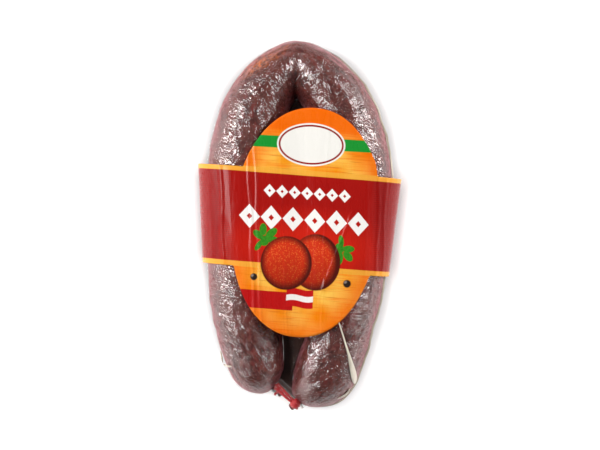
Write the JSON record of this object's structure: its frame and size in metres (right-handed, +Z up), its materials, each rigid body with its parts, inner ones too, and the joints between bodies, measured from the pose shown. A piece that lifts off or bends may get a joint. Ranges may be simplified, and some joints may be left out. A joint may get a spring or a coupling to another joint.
{
  "type": "cured sausage",
  "caption": "Dry cured sausage bent into a horseshoe, tied at its ends, sealed in clear film with a printed sleeve round both legs.",
  "frame": {"origin": "on the surface the pack lies on, under the middle of its outline", "axes": "+Z up out of the sleeve's front face, +Y along the legs towards the bend, the tied ends at -Y"},
  "size_m": [0.1018, 0.1874, 0.039],
  "materials": {
    "casing": "dark maroon natural casing, mottled, slightly wrinkled",
    "clear_film": "clear glossy vacuum film with fine wrinkles",
    "printed_sleeve": "glossy printed sleeve, red band with an orange oval face",
    "clip_metal": "bright crimped metal",
    "red_string": "waxed red string"
  },
  "bodies": {
    "root": {"sausage": "casing", "front_film": "clear_film", "back_film": "clear_film", "label_sleeve": "printed_sleeve", "end_clip_left": "clip_metal", "end_clip_right": "clip_metal", "tie_string": "red_string"}
  },
  "joints": []
}
